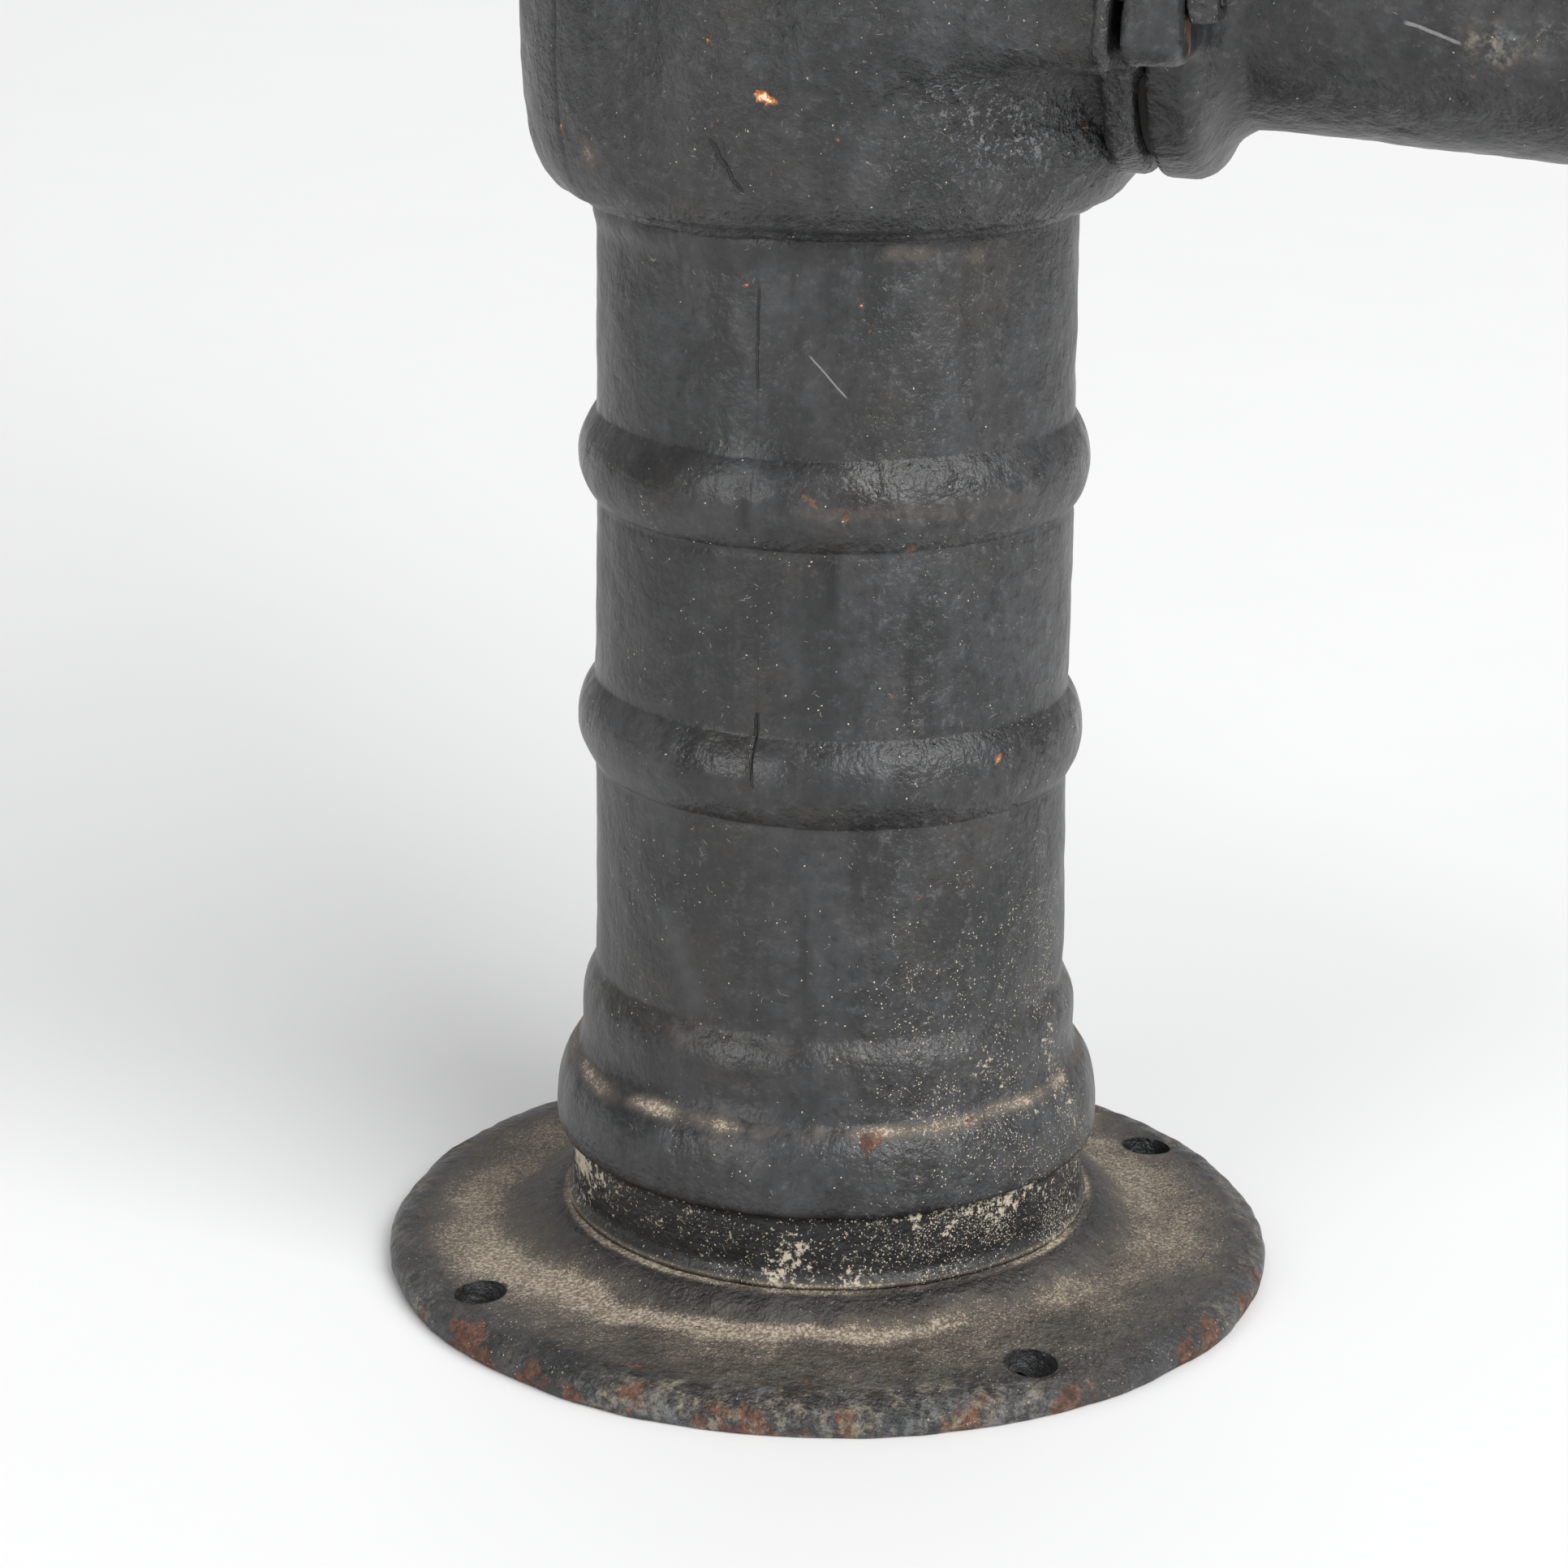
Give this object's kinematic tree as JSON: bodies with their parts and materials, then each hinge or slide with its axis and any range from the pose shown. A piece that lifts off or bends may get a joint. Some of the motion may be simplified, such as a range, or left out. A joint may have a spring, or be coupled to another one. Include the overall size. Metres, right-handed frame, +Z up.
{
  "type": "hand well pump",
  "caption": "Cast hand well pump on a round flanged column, with a bolted side spout, domed cap, curved lever and a pump rod that drives an inner piston.",
  "frame": {"origin": "on the column's axis at the underside of the base flange", "axes": "+Z up along the column, +X towards the spout, the lever on the -X side"},
  "size_m": [0.7848, 0.28, 0.8908],
  "materials": {
    "base_paint": "black paint over rough cast iron, brown dust on top, rust and bare brown metal along the rim",
    "column_paint": "thick black brushed paint over rough cast iron, pale lint and dust specks",
    "body_paint": "thick black brushed paint over pebbled cast iron, a few rust chips",
    "spout_paint": "black paint over smooth cast iron, one rust scar",
    "cap_paint": "thick black brushed paint over cast iron, dust in the hollows",
    "lever_paint": "black paint worn to smooth dark metal at the grip",
    "plain_iron": "bare iron with a thin brown rust",
    "brass": "dull water-stained brass",
    "gland_brass": "brass with worn black paint",
    "fastener_steel": "painted square nuts and screws with rust at the edges",
    "pin_steel": "greasy steel with brown rust",
    "rod_steel": "turned steel, polished where it slides",
    "gasket_rubber": "hard black packing",
    "gasket_leather": "compressed dark leather",
    "cup_leather": "oiled leather",
    "hemp": "greased hemp packing"
  },
  "bodies": {
    "stand": {"base_flange": "base_paint", "column": "column_paint", "suction_bush": "plain_iron", "cylinder_liner": "brass", "foot_valve_seat": "brass", "foot_valve_guard": "brass", "pump_body": "body_paint", "body_gasket": "gasket_leather", "outlet_gasket": "gasket_rubber", "spout": "spout_paint", "outlet_stud_front": "fastener_steel", "outlet_stud_back": "fastener_steel", "outlet_nut_front": "fastener_steel", "outlet_nut_back": "fastener_steel", "top_cap": "cap_paint", "cap_gasket": "gasket_leather", "cap_bolt_1": "fastener_steel", "cap_bolt_2": "fastener_steel", "cap_bolt_3": "fastener_steel", "cap_bolt_4": "fastener_steel", "rod_bush": "brass", "gland_packing": "hemp", "gland_nut": "gland_brass", "fulcrum_pin": "pin_steel", "fulcrum_washer": "pin_steel", "fulcrum_cotter": "pin_steel"},
    "lever": {"lever": "lever_paint", "lever_bush": "brass"},
    "pump_rod": {"pump_rod": "rod_steel", "rod_clevis": "plain_iron", "clevis_pin": "pin_steel", "clevis_cotter": "pin_steel", "clevis_locknut": "pin_steel", "piston_cage": "brass", "cup_leather": "cup_leather", "piston_follower": "brass", "piston_locknut": "brass"},
    "piston_valve": {"piston_valve": "brass", "piston_valve_leather": "cup_leather"},
    "foot_valve": {"foot_valve": "brass", "foot_valve_leather": "cup_leather"}
  },
  "joints": [
    {"name": "lever_swing", "type": "hinge", "parent": "stand", "child": "lever", "pos_m": [-0.095, 0, 0.83], "axis": [0, 1, 0], "range_deg": [0, 44]},
    {"name": "rod_slide", "type": "slide", "parent": "stand", "child": "pump_rod", "axis": [0, 0, 1], "range_m": [-0.07696, 0]},
    {"name": "piston_valve_lift", "type": "slide", "parent": "pump_rod", "child": "piston_valve", "axis": [0, 0, 1], "range_m": [0, 0.0065]},
    {"name": "foot_valve_lift", "type": "slide", "parent": "stand", "child": "foot_valve", "axis": [0, 0, 1], "range_m": [0, 0.012]}
  ],
  "couplings": [
    {"joint": "rod_slide", "follows": "lever_swing", "m_per_rad": -0.099962}
  ]
}
